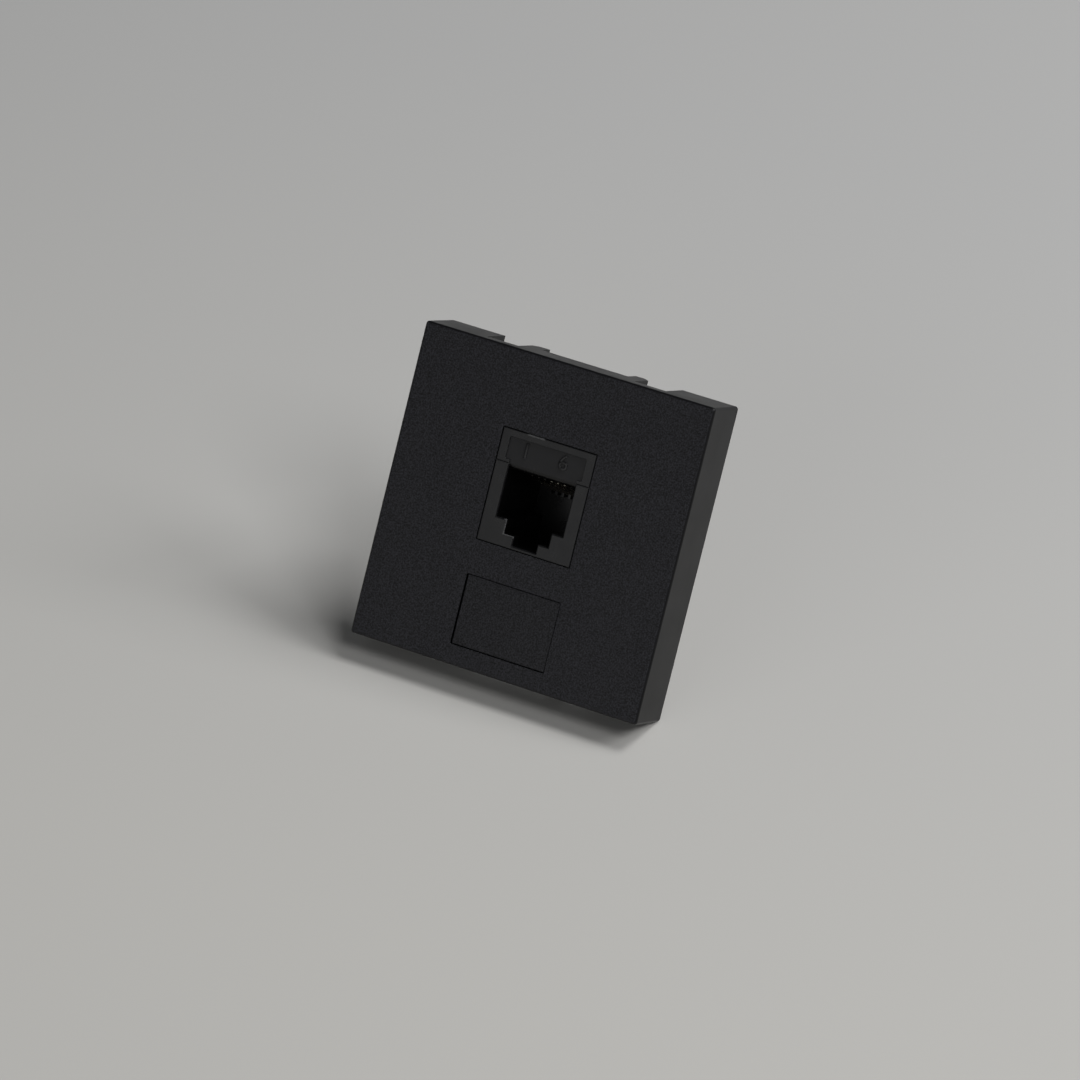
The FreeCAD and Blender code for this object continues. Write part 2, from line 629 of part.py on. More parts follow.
def terminal_blade(x, level):
    """Forked blade that cuts through a wire's insulation, with a tail in the board."""
    half = BLADE_WIDTH / 2
    slot = BLADE_SLOT / 2
    right = [(slot, BLADE_REAR - BLADE_SLOT_DEPTH), (slot, BLADE_REAR - BLADE_MOUTH_DEPTH),
             (BLADE_MOUTH / 2, BLADE_REAR), (half, BLADE_REAR), (half, BOARD_REAR),
             (TAIL_WIDTH / 2, BOARD_REAR), (TAIL_WIDTH / 2, BOARD_FRONT + TAIL_SETBACK)]
    left = [(-px, y) for px, y in reversed(right)]
    outline = [(x + px, y) for px, y in right + left]
    return prism_z(outline, level - BLADE_THICKNESS / 2, level + BLADE_THICKNESS / 2)


def cap_pushers(level):
    """Ribs inside a cap that press the wires home, one each side of the blade."""
    half = WAY_SLOT / 2 - PUSHER_GAP
    near = BLADE_THICKNESS / 2 + PUSHER_BLADE_GAP
    far = TOWER_THICKNESS / 2
    ribs = []
    for x in spread(WAYS, WAY_PITCH):
        for low, high in ((level - far, level - near), (level + near, level + far)):
            outline = rectangle(x - half, x + half, low, high)
            ribs.append(prism_y(outline, TOWER_REAR - PUSHER_REACH, CAP_INSIDE))
    return ribs


def cap_grips(level, half_width):
    """Finger grooves across the back of a cap."""
    grooves = []
    for offset in spread(CAP_GRIPS, CAP_GRIP_PITCH):
        middle = level + offset
        outline = [(CAP_END - CAP_GRIP_DEPTH, middle), (CAP_END + CAP_GRIP_DEPTH, middle - CAP_GRIP_WIDTH),
                   (CAP_END + CAP_GRIP_DEPTH, middle + CAP_GRIP_WIDTH)]
        grooves.append(prism_x(outline, -half_width, half_width))
    return grooves


def cap_wire_slots(level, reach):
    """Round-ended slots through both long walls of a cap, where the wires pass."""
    radius = CAP_WIRE_SLOT / 2
    end = CAP_FRONT + CAP_WIRE_SLOT_DEPTH - radius
    slots = []
    for x in spread(WAYS, WAY_PITCH):
        straight = prism_z(rectangle(x - radius, x + radius, CAP_FRONT - OVERCUT, end), level - reach, level + reach)
        round_end = Part.makeCylinder(radius, 2 * reach, Vector(x, end, level - reach), Vector(0, 0, 1))
        slots.append(straight.fuse(round_end))
    return slots


def terminal_cap(level):
    """Press-on cap over one terminal row, with pushers inside and a slot in both walls for each wire."""
    inner_half = TOWER_WIDTH / 2 + CAP_GAP
    inner_rise = TOWER_THICKNESS / 2 + CAP_GAP
    shell = rounded_block(BLOCK_WIDTH, CAP_HEIGHT, CAP_EDGE_RADIUS, level, CAP_FRONT, CAP_END)
    shell = shell.makeFillet(CAP_EDGE_RADIUS, edges_on_plane(shell, CAP_END))
    room = prism_y(centred(inner_half, level - inner_rise, level + inner_rise), CAP_FRONT - OVERCUT, CAP_INSIDE)
    grips = cap_grips(level, BLOCK_WIDTH / 2 - CAP_GRIP_INSET)
    shell = shell.cut([room] + grips + cap_wire_slots(level, CAP_HEIGHT / 2 + OVERCUT))
    return shell.fuse(cap_pushers(level)).removeSplitter()


def all_pieces():
    """Every piece of the module by name."""
    pieces = {
        "face_plate": face_plate(),
        "label_cover": label_cover(),
        "jack_housing": jack_housing(),
        "contact_carrier": contact_carrier(),
        "circuit_board": circuit_board(),
        "terminal_block": terminal_block(),
    }
    for number, x in enumerate(spread(CONTACTS, CONTACT_PITCH), start=1):
        pieces[f"contact_wire_{number}"] = contact_wire(x)
    for row, row_name in ROW_NAMES.items():
        pieces[f"terminal_cap_{row_name}"] = terminal_cap(row_level(row))
        for number, x in enumerate(spread(WAYS, WAY_PITCH), start=1):
            pieces[f"terminal_blade_{row_name}_{number}"] = terminal_blade(x, row_level(row))
    return pieces


def main():
    os.makedirs("parts", exist_ok=True)
    for name, shape in all_pieces().items():
        if not shape.isValid() or len(shape.Solids) != 1:
            raise RuntimeError(f"{name}: {len(shape.Solids)} solids, valid {shape.isValid()}")
        shape.Solids[0].exportStep(os.path.join("parts", f"{name}.step"))
        box = shape.optimalBoundingBox()
        print(f"{name:26s} {shape.Volume:9.2f} mm3  x {box.XMin:7.2f} {box.XMax:7.2f}"
              f"  y {box.YMin:7.2f} {box.YMax:7.2f}  z {box.ZMin:7.2f} {box.ZMax:7.2f}")


main()
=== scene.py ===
# %% [markdown]
# # A snap-in telephone jack module
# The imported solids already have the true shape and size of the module: a square face plate, a
# blank label cover, the jack with its wires, and the terminals at the rear. This lesson sets up
# the camera, floor and light of a small product shot, gives every solid its finish, and models
# the small moulded marks that are too fine for the solids.

# %% Load the solids
import json
import math

import bpy
from mathutils import Matrix, Vector


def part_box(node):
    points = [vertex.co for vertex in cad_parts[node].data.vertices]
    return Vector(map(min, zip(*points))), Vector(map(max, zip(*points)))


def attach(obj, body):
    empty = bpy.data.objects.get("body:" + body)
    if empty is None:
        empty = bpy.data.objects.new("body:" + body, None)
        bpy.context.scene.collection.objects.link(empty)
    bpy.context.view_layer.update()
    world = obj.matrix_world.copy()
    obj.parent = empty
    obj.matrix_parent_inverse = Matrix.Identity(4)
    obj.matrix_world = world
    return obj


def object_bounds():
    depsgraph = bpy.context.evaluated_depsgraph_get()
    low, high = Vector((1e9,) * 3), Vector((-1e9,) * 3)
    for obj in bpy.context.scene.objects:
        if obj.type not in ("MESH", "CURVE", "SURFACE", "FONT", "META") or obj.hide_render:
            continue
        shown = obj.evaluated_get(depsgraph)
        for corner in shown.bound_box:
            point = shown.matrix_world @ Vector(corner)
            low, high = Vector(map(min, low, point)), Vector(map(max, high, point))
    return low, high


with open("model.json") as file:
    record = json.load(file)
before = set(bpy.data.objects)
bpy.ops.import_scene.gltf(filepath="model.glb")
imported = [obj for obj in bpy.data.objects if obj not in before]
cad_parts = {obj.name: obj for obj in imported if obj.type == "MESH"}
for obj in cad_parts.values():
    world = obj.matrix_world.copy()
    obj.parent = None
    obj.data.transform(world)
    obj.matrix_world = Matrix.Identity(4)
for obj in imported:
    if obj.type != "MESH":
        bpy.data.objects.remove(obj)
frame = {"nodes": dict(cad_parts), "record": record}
cad_low, cad_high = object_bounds()
nodes = frame["nodes"]
MM = 0.001
FACE = cad_low.y
print("loaded", len(nodes), "solids,", [round(v / MM, 2) for v in cad_high - cad_low], "mm")

# %% [markdown]
# ## Camera
# The picture was taken from nearly a metre away with a long lens, so edges that are parallel on
# the module stay almost parallel in the picture. A camera can be placed by its three
# coordinates and turned until it fits, but turn, rise and roll about one aim point are easier
# to read and to adjust one at a time.

# %% Camera
AIM = Vector((1.87, -7.65, -2.09)) * MM
CAMERA_DISTANCE = 0.9629
CAMERA_TURN = math.radians(23.27)
CAMERA_RISE = math.radians(8.67)
CAMERA_ROLL = math.radians(13.96)
LENS = 233.9
SENSOR = 36.0

outward = Vector((math.sin(CAMERA_TURN) * math.cos(CAMERA_RISE),
                  -math.cos(CAMERA_TURN) * math.cos(CAMERA_RISE),
                  math.sin(CAMERA_RISE)))
facing = (-outward).to_track_quat("-Z", "Y").to_matrix().to_4x4()
roll = Matrix.Rotation(CAMERA_ROLL, 4, "Z")
bpy.ops.object.select_all(action="DESELECT")
bpy.ops.object.camera_add()
camera = bpy.context.object
camera.name = "product_camera"
camera.matrix_world = Matrix.Translation(AIM + outward * CAMERA_DISTANCE) @ facing @ roll
camera.data.lens = LENS
camera.data.sensor_width = SENSOR
bpy.context.scene.camera = camera
bpy.context.scene.view_settings.view_transform = "Standard"
print("camera at", [round(v, 3) for v in camera.location])

# %% [markdown]
# ## Shader helpers
# Every finish below is a handful of nodes in a row. Adding and linking nodes one line at a time
# hides what the row does, so a few small helpers carry the plain words: where a point is, noise
# of a given grain, a value spread over a span, a blend of two colours, a relief.

# %% Shader helpers
EDGE_ROUNDING = 0.05 * MM
BEVEL_SAMPLES = 4
# Most of a noise lies between these two values.
NOISE_LOW = 0.3
NOISE_HIGH = 0.7


def start_finish(name):
    """New material with nodes; returns it with its node tree and its shader."""
    finish = bpy.data.materials.new(name)
    finish.use_nodes = True
    return finish, finish.node_tree, finish.node_tree.nodes["Principled BSDF"]


def feed(tree, socket, value):
    """Link a node's output to a socket, or set a plain value on it."""
    if isinstance(value, bpy.types.NodeSocket):
        tree.links.new(value, socket)
    else:
        socket.default_value = value


def add_node(tree, kind, inputs=None, **options):
    """Shader node of that kind, with its options set and its inputs fed."""
    node = tree.nodes.new(f"ShaderNode{kind}")
    for option, value in options.items():
        setattr(node, option, value)
    for socket, value in (inputs or {}).items():
        feed(tree, node.inputs[socket], value)
    return node


def object_space(tree, scale=(1.0, 1.0, 1.0), shift=(0.0, 0.0, 0.0)):
    """Object coordinates, stretched by scale and then moved by shift along each axis."""
    place = add_node(tree, "TexCoord")
    inputs = {"Vector": place.outputs["Object"], "Scale": scale, "Location": shift}
    return add_node(tree, "Mapping", inputs).outputs["Vector"]


def along(tree, axis):
    """Object coordinate along X, Y or Z."""
    place = add_node(tree, "TexCoord")
    split = add_node(tree, "SeparateXYZ", {"Vector": place.outputs["Object"]})
    return split.outputs[axis]


def noise(tree, where, grain, detail=2.0, roughness=0.5):
    """Noise whose patches are about grain metres across."""
    inputs = {"Vector": where, "Scale": 1.0 / grain, "Detail": detail, "Roughness": roughness}
    return add_node(tree, "TexNoise", inputs).outputs["Fac"]


def spread_over(tree, value, low, high, from_low=NOISE_LOW, from_high=NOISE_HIGH):
    """Value carried from its own span, a noise's if none is given, to low...high."""
    inputs = {"Value": value, "From Min": from_low, "From Max": from_high,
              "To Min": low, "To Max": high}
    return add_node(tree, "MapRange", inputs).outputs["Result"]


def calculate(tree, operation, one, other):
    """Result of one operation on two values."""
    return add_node(tree, "Math", {0: one, 1: other}, operation=operation).outputs["Value"]


def blend_colours(tree, share, without, full):
    """Colour that goes from without to full as share goes from 0 to 1."""
    inputs = {"Factor": share, "A": without, "B": full}
    return add_node(tree, "Mix", inputs, data_type="RGBA").outputs["Result"]


def blend_values(tree, share, without, full):
    """Value that goes from without to full as share goes from 0 to 1."""
    return add_node(tree, "Mix", {"Factor": share, "A": without, "B": full}).outputs["Result"]


def between(tree, axis, low, high, fade):
    """1 where a coordinate lies between low and high, and 0 past a fade on each side."""
    place = along(tree, axis)
    entered = spread_over(tree, place, 0.0, 1.0, low - fade, low)
    still_in = spread_over(tree, place, 1.0, 0.0, high, high + fade)
    return calculate(tree, "MULTIPLY", entered, still_in)


def overlap(tree, *shares):
    """Share that is 1 only where every given share is 1."""
    product = shares[0]
    for share in shares[1:]:
        product = calculate(tree, "MULTIPLY", product, share)
    return product


def shades(tree, value, dark, light):
    """Colour that runs from dark to light over the usual span of a noise."""
    return blend_colours(tree, spread_over(tree, value, 0.0, 1.0), (*dark, 1.0), (*light, 1.0))


def relief(tree, shader, height, depth):
    """Bump from a height, on edges that the bevel node has rounded for the light."""
    rounded = add_node(tree, "Bevel", {"Radius": EDGE_ROUNDING}, samples=BEVEL_SAMPLES)
    inputs = {"Normal": rounded.outputs["Normal"], "Height": height, "Distance": depth}
    bump = add_node(tree, "Bump", inputs)
    tree.links.new(bump.outputs["Normal"], shader.inputs["Normal"])


print("shader helpers ready")

# %% [markdown]
# ## Floor
# The module lies back on the foot of its skirt and on its lower terminal cap, so the table top
# is tilted as seen from the module. Turning the module would break its frame, so the table is
# turned instead: a wide sheet through the skirt's rear bottom edge. The table's colour is painted
# a little warmer and lighter towards the viewer, a painted pool of light. Its material is
# see-through from below, which leaves the rear of the module open to view from behind.

# %% Floor
FLOOR_TILT = math.radians(29.8)
FLOOR_SIZE = 3.0
# Far and near colours of the table: the step between them is a painted pool of light.
PAPER_FAR_WITH_PAINTED_SHADE = (0.490, 0.489, 0.484)
PAPER_NEAR_WITH_PAINTED_LIGHT = (0.525, 0.517, 0.494)
PAPER_FADE_FROM = 0.14
PAPER_FADE_TO = -0.06
PAPER_ROUGHNESS = 0.8
PAPER_SPECULAR = 0.15

floor_up = Vector((0.0, -math.sin(FLOOR_TILT), math.cos(FLOOR_TILT)))
floor_front = Vector((0.0, -math.cos(FLOOR_TILT), -math.sin(FLOOR_TILT)))
skirt_foot = Vector((0.0, 0.0, cad_low.z))
bpy.ops.object.select_all(action="DESELECT")
bpy.ops.mesh.primitive_plane_add(size=FLOOR_SIZE, location=skirt_foot,
                                 rotation=(FLOOR_TILT, 0.0, 0.0))
floor = bpy.context.object
floor.name = "table_top"
floor.visible_shadow = False

table_finish, tree, shader = start_finish("table_paper")
# Painted light: the table's colour is lighter and warmer towards the viewer.
nearness = spread_over(tree, along(tree, "Y"), 0.0, 1.0, PAPER_FADE_FROM, PAPER_FADE_TO)
paper_with_painted_light = blend_colours(tree, nearness, (*PAPER_FAR_WITH_PAINTED_SHADE, 1.0), (*PAPER_NEAR_WITH_PAINTED_LIGHT, 1.0))
feed(tree, shader.inputs["Base Color"], paper_with_painted_light)
shader.inputs["Roughness"].default_value = PAPER_ROUGHNESS
shader.inputs["Specular IOR Level"].default_value = PAPER_SPECULAR
side = add_node(tree, "NewGeometry")
clear = add_node(tree, "BsdfTransparent")
sheets = {0: side.outputs["Backfacing"], 1: shader.outputs["BSDF"], 2: clear.outputs["BSDF"]}
either = add_node(tree, "MixShader", sheets)
tree.links.new(either.outputs["Shader"], tree.nodes["Material Output"].inputs["Surface"])
floor.data.materials.append(table_finish)
print("table tilted", round(math.degrees(FLOOR_TILT), 1), "degrees")

# %% [markdown]
# ## Light
# Black plastic shows its form by what it mirrors. One big lamp would be simpler, but it would
# shine in every rounded edge. So three small soft lamps stand to the right and behind, from the
# front right round to overhead, and the shadow runs out softly to the left and to the front. A
# weak, window-like lamp in front is what the flat face mirrors, so flat areas look greyer than
# the rounded edges, which mirror the dim room. A lamp below the table only matters when the
# module is looked at from behind.

# %% Light
ROOM_COLOUR = (0.92, 0.96, 1.0, 1.0)
ROOM_STRENGTH = 0.05


def over_table(turn, rise):
    """Direction from the module: turn from the table's front to its right, rise above the table."""
    flat = Vector((math.sin(turn), 0.0, 0.0)) + floor_front * math.cos(turn)
    return flat * math.cos(rise) + floor_up * math.sin(rise)


def soft_lamp(name, turn, rise, distance, width, height, power):
    """Rectangular area lamp that shines at the module; turn and rise in degrees."""
    towards = over_table(math.radians(turn), math.radians(rise))
    bpy.ops.object.select_all(action="DESELECT")
    bpy.ops.object.light_add(type="AREA", location=towards * distance)
    lamp = bpy.context.object
    lamp.name = name
    lamp.rotation_mode = "QUATERNION"
    lamp.rotation_quaternion = (-towards).to_track_quat("-Z", "Y")
    lamp.data.shape = "RECTANGLE"
    lamp.data.size = width
    lamp.data.size_y = height
    lamp.data.energy = power
    lamp.visible_camera = False
    print("lamp", name, power, "W")
    return lamp


world = bpy.data.worlds.new("studio")
world.use_nodes = True
bpy.context.scene.world = world
background = world.node_tree.nodes["Background"]
background.inputs["Color"].default_value = ROOM_COLOUR
background.inputs["Strength"].default_value = ROOM_STRENGTH

soft_lamp("side_lamp", turn=62.0, rise=48.0, distance=1.1, width=0.4, height=0.4, power=3.1)
soft_lamp("corner_lamp", turn=110.0, rise=38.0, distance=1.1, width=0.4, height=0.4, power=4.2)
soft_lamp("overhead_lamp", turn=138.0, rise=60.0, distance=1.1, width=0.4, height=0.4, power=5.7)
soft_lamp("window_lamp", turn=-8.0, rise=17.0, distance=0.5, width=0.36, height=0.3, power=0.40)
soft_lamp("rear_lamp", turn=214.0, rise=-40.0, distance=0.9, width=0.5, height=0.5, power=8.0)

# %% [markdown]
# ## Textured black plastic
# The face plate and the label cover are moulded in black plastic whose face has the fine, even
# grain of a spark-eroded mould. The grain stops where the edges are rounded, and the sides,
# which slide out of the mould, are smooth. A picture of the grain would repeat and stretch, so
# noise in object space makes it: fine noise raises and lowers the face by a few hundredths of a
# millimetre and speckles its shade, slow noise changes the gloss, and the depth of a point
# tells the face from the edges. The face's colour is also painted lighter than the edges and
# sides: the speckle is the grain's own tone, and the lift is a painted sheen.

# %% Textured black plastic
GRAIN = 0.22 * MM
GRAIN_DEPTH = 0.05 * MM
GRAIN_STOP = 0.01 * MM
GRAIN_FADE = 0.04 * MM
# Where a face cuts through the noise, in grains, so that plate and label show the same grain.
GRAIN_PHASE = 0.2
SIDE_GRAIN = 0.06
CLOUD = 6.0 * MM
ERODED_GLOSS = (0.50, 0.56)
SMOOTH_GLOSS = (0.35, 0.41)
PLATE_SPECULAR = 0.25
# The face's speckle runs between the dark and the light colours below: the speckle is the grain's
# own tone, and its lighter mean is a painted sheen.
GRAIN_DARK = (0.0014, 0.0014, 0.0017)
PLATE_GRAIN_AND_SHEEN = (0.0275, 0.0275, 0.0335)
LABEL_GRAIN_AND_SHEEN = (0.0255, 0.0255, 0.0305)
SMOOTH_SHADE = (0.0045, 0.0045, 0.0052, 1.0)


def textured_plastic(name, face, light):
    """Black plastic with a spark-eroded face at that depth, and smooth edges and sides."""
    finish, tree, shader = start_finish(name)
    shader.inputs["Specular IOR Level"].default_value = PLATE_SPECULAR
    where = object_space(tree, shift=(0.0, GRAIN_PHASE * GRAIN - face, 0.0))
    grain_end = face + GRAIN_STOP
    behind = spread_over(tree, along(tree, "Y"), 0.0, 1.0, grain_end, grain_end + GRAIN_FADE)
    grain = noise(tree, where, GRAIN, detail=1.0)
    cloud = noise(tree, where, CLOUD)
    # Painted sheen: the face's speckled colour is lighter than the smooth shade of the edges and
    # sides.
    grain_and_painted_sheen = shades(tree, grain, GRAIN_DARK, light)
    feed(tree, shader.inputs["Base Color"], blend_colours(tree, behind, grain_and_painted_sheen, SMOOTH_SHADE))
    eroded = spread_over(tree, cloud, *ERODED_GLOSS)
    smooth = spread_over(tree, cloud, *SMOOTH_GLOSS)
    feed(tree, shader.inputs["Roughness"], blend_values(tree, behind, eroded, smooth))
    strength = blend_values(tree, behind, 1.0, SIDE_GRAIN)
    relief(tree, shader, calculate(tree, "MULTIPLY", grain, strength), GRAIN_DEPTH)
    return finish


label_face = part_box("label_cover")[0].y
plate_plastic = textured_plastic("textured_plate", FACE, PLATE_GRAIN_AND_SHEEN)
label_plastic = textured_plastic("textured_label", label_face, LABEL_GRAIN_AND_SHEEN)
print("made", plate_plastic.name, "and", label_plastic.name)

# %% [markdown]
# ## Satin black plastic
# The jack, the terminal block and the caps come from polished moulds and are smoother than the
# plate, with a soft sheen and the faint marks of how the plastic flowed. Three separate recipes
# would repeat most of it, so one recipe gives the skin, and each moulding gets its own shades
# and gloss, as mouldings from three tools have.

# %% Satin black plastic
FLOW_STRETCH = (1.0, 0.35, 1.0)
FLOW_MARKS = 2.4 * MM
SKIN_GRAIN = 0.12 * MM
SKIN_DEPTH = 0.006 * MM


def satin_plastic(name):
    """Smooth black plastic, with its tree, its shader and the flow marks for shade and gloss."""
    finish, tree, shader = start_finish(name)
    flow = noise(tree, object_space(tree, FLOW_STRETCH), FLOW_MARKS, detail=3.0)
    relief(tree, shader, noise(tree, object_space(tree), SKIN_GRAIN), SKIN_DEPTH)
    return finish, tree, shader, flow


def plain_satin(name, dark, light, gloss):
    """Satin plastic whose shade and gloss follow the flow marks all over."""
    finish, tree, shader, flow = satin_plastic(name)
    feed(tree, shader.inputs["Base Color"], shades(tree, flow, dark, light))
    feed(tree, shader.inputs["Roughness"], spread_over(tree, flow, *gloss))
    return finish


block_plastic = plain_satin("satin_block", dark=(0.0090, 0.0090, 0.0096),
                            light=(0.0130, 0.0130, 0.0140), gloss=(0.40, 0.52))
cap_plastic = plain_satin("satin_cap", dark=(0.0140, 0.0140, 0.0150),
                          light=(0.0190, 0.0190, 0.0205), gloss=(0.36, 0.46))
print("made", block_plastic.name, "and", cap_plastic.name)

# %% [markdown]
# ## Places on the jack
# The jack has more to show than one even gloss. The sunk field above the port is eroded like
# the face plate, so it is rougher, and it is painted lighter, a painted sheen; the port is
# painted darker inside, a painted shade; and a little dust sits in the seam between the two
# mouldings. A painted mask would tie these places to one mesh, so each is found by its
# coordinates.

# %% Places on the jack
FIELD_START = 0.12 * MM
FIELD_END = 0.26 * MM
FIELD_DEPTH_FADE = 0.05 * MM
FIELD_REACH = 5.0 * MM
FIELD_LEVEL_FADE = 0.1 * MM
SEAM_START = 0.02 * MM
SEAM_END = 0.12 * MM
SEAM_BELOW = 0.1 * MM
SEAM_ABOVE = 0.15 * MM
SEAM_FADE = 0.02 * MM
PORT_HALF_WIDTH = 5.3 * MM
PORT_SIDE_FADE = 0.05 * MM
PORT_BOTTOM = -4.1 * MM
PORT_TOP = 7.6 * MM
PORT_LEVEL_FADE = 0.1 * MM
PORT_START = 0.5 * MM
PORT_END = 12.4 * MM
PORT_DEPTH_FADE = 0.3 * MM


def behind_face(tree, start, end, fade):
    """1 between two depths behind the face."""
    return between(tree, "Y", FACE + start, FACE + end, fade)


jack_plastic, tree, shader, flow = satin_plastic("satin_jack")
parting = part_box("jack_housing")[1].z
field = overlap(tree, behind_face(tree, FIELD_START, FIELD_END, FIELD_DEPTH_FADE),
                between(tree, "Z", parting, parting + FIELD_REACH, FIELD_LEVEL_FADE))
in_seam = overlap(tree, behind_face(tree, SEAM_START, SEAM_END, SEAM_FADE),
                  between(tree, "Z", parting - SEAM_BELOW, parting + SEAM_ABOVE, SEAM_FADE))
in_port = overlap(tree, between(tree, "X", -PORT_HALF_WIDTH, PORT_HALF_WIDTH, PORT_SIDE_FADE),
                  between(tree, "Z", PORT_BOTTOM, PORT_TOP, PORT_LEVEL_FADE),
                  behind_face(tree, PORT_START, PORT_END, PORT_DEPTH_FADE))
print("found field, seam and port, parting at", round(parting / MM, 2), "mm")

# %% [markdown]
# ## Painted highlights on two edges
# Two edges of the jack are painted pale as highlights: a stretch of its top edge, and the left
# step at the foot of the port. A pale line along every edge would be quicker, but these
# highlights sit in a few places. So each place is a box, given by its span each way, and noise
# breaks it up.

# %% Painted highlights on two edges
HIGHLIGHT_SIDE_FADE = 0.20 * MM
HIGHLIGHT_LEVEL_FADE = 0.05 * MM
HIGHLIGHT_DEPTH_FADE = 0.015 * MM
HIGHLIGHT_PATCH = 0.5 * MM
HIGHLIGHT_NOISE = (0.3, 0.5)
HIGHLIGHT_SHARES = (0.2, 1.0)


def highlight_box(tree, across, up, deep):
    """Share of painted highlight in a box, given by its span each way, broken up by noise."""
    sideways = between(tree, "X", *across, HIGHLIGHT_SIDE_FADE)
    height = between(tree, "Z", *up, HIGHLIGHT_LEVEL_FADE)
    depth = behind_face(tree, *deep, HIGHLIGHT_DEPTH_FADE)
    patches = noise(tree, object_space(tree), HIGHLIGHT_PATCH)
    patchy = spread_over(tree, patches, *HIGHLIGHT_SHARES, *HIGHLIGHT_NOISE)
    return overlap(tree, sideways, height, depth, patchy)


# Two boxes of painted highlight: a stretch of the top edge, and the left step at the foot of the
# port.
top_edge_highlight = highlight_box(tree, across=(-3.4 * MM, -0.9 * MM), up=(11.36 * MM, 11.7 * MM),
                       deep=(0.0, 0.14 * MM))
step_edge_highlight = highlight_box(tree, across=(-3.75 * MM, -1.8 * MM), up=(-2.95 * MM, -0.6 * MM),
                        deep=(0.02 * MM, 0.15 * MM))
painted_highlights = calculate(tree, "MAXIMUM", top_edge_highlight, step_edge_highlight)
print("highlighted two edges of the jack")

# %% [markdown]
# ## Jack plastic
# With the places known, the jack's colour is built up in layers, as paint would be: the plain
# moulding, the painted shade in the port and the painted sheen on the field, the dust, and the
# painted highlights on two edges last. Separate materials for each place would need the mesh cut
# along their borders, and the borders are soft.

# %% Jack plastic
JACK_SPECULAR = 0.3
JACK_DARK = (0.0050, 0.0050, 0.0056)
JACK_LIGHT = (0.0076, 0.0076, 0.0084)
# Painted shade: the inside of the port is painted darker than the moulding.
PORT_PAINTED_SHADE = (0.0012, 0.0012, 0.0013, 1.0)
# Painted sheen: the eroded field is painted lighter than the moulding.
FIELD_PAINTED_SHEEN = (0.0150, 0.0150, 0.0161, 1.0)
SEAM_DUST = (0.030, 0.030, 0.032, 1.0)
# Painted highlight: two edges of the jack are painted pale.
PAINTED_HIGHLIGHT = (0.075, 0.075, 0.077, 1.0)
POLISHED_GLOSS = (0.26, 0.34)
FIELD_GLOSS = (0.52, 0.60)

shade = shades(tree, flow, JACK_DARK, JACK_LIGHT)
# Painted shade in the port.
with_port_shade = blend_colours(tree, in_port, shade, PORT_PAINTED_SHADE)
# Painted sheen on the field.
moulded = blend_colours(tree, field, with_port_shade, FIELD_PAINTED_SHEEN)
dusty = blend_colours(tree, in_seam, moulded, SEAM_DUST)
# Painted highlights on two edges, laid over the rest.
feed(tree, shader.inputs["Base Color"], blend_colours(tree, painted_highlights, dusty, PAINTED_HIGHLIGHT))
polished = spread_over(tree, flow, *POLISHED_GLOSS)
eroded = spread_over(tree, flow, *FIELD_GLOSS)
feed(tree, shader.inputs["Roughness"], blend_values(tree, field, polished, eroded))
shader.inputs["Specular IOR Level"].default_value = JACK_SPECULAR
print("made", jack_plastic.name)

# %% [markdown]
# ## Metals
# The contact wires are drawn spring wire, gold-plated where the plug touches them and tinned
# towards the board; at their front bend, the wires on the left are painted dark, a painted
# shade. The forked blades are stamped and tinned. One even metal would do from afar, but close up
# a metal is told by its colour and the streaks of how it was made, so the noise is stretched
# along the wire or the stamping.

# %% Metals
GOLD = (0.82, 0.77, 0.66, 1.0)
# Painted shade on the front bend of the left-hand wires.
WIRE_PAINTED_SHADE = (0.09, 0.085, 0.08, 1.0)
SHADED_BEND_LENGTH = 1.6 * MM
UNSHADED_FROM = -0.2 * MM
UNSHADED_TO = 0.4 * MM
TIN = (0.66, 0.65, 0.62, 1.0)
TIN_DARK = (0.55, 0.54, 0.51)
TIN_LIGHT = (0.72, 0.71, 0.68)
TIN_PATCH = 0.6 * MM
PLATING_END = 3.0 * MM
PLATING_FADE = 0.8 * MM
STREAK = 0.08 * MM
STREAK_DEPTH = 0.002 * MM


def drawn_metal(name, streaks, gloss):
    """Metal with fine streaks along one axis, with its tree and its shader for the colour."""
    finish, tree, shader = start_finish(name)
    shader.inputs["Metallic"].default_value = 1.0
    lines = noise(tree, object_space(tree, streaks), STREAK, detail=3.0)
    feed(tree, shader.inputs["Roughness"], spread_over(tree, lines, *gloss))
    relief(tree, shader, lines, STREAK_DEPTH)
    return finish, tree, shader


contact_gold, tree, shader = drawn_metal("gold_wire", streaks=(1.0, 0.06, 1.0),
                                         gloss=(0.18, 0.34))
tinned = spread_over(tree, along(tree, "Y"), 0.0, 1.0, PLATING_END, PLATING_END + PLATING_FADE)
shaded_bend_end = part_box("contact_wire_1")[0].y + SHADED_BEND_LENGTH
plated = spread_over(tree, along(tree, "Y"), 0.0, 1.0, shaded_bend_end, shaded_bend_end + PLATING_FADE)
unshaded_wires = spread_over(tree, along(tree, "X"), 0.0, 1.0, UNSHADED_FROM, UNSHADED_TO)
# The front bend of the left-hand wires gets the painted shade; the rest of the front is gold.
front = blend_colours(tree, calculate(tree, "MAXIMUM", plated, unshaded_wires), WIRE_PAINTED_SHADE, GOLD)
feed(tree, shader.inputs["Base Color"], blend_colours(tree, tinned, front, TIN))

blade_metal, tree, shader = drawn_metal("tinned_blade", streaks=(0.1, 1.0, 1.0),
                                        gloss=(0.28, 0.45))
patches = noise(tree, object_space(tree), TIN_PATCH)
feed(tree, shader.inputs["Base Color"], shades(tree, patches, TIN_DARK, TIN_LIGHT))
print("made", contact_gold.name, "and", blade_metal.name)

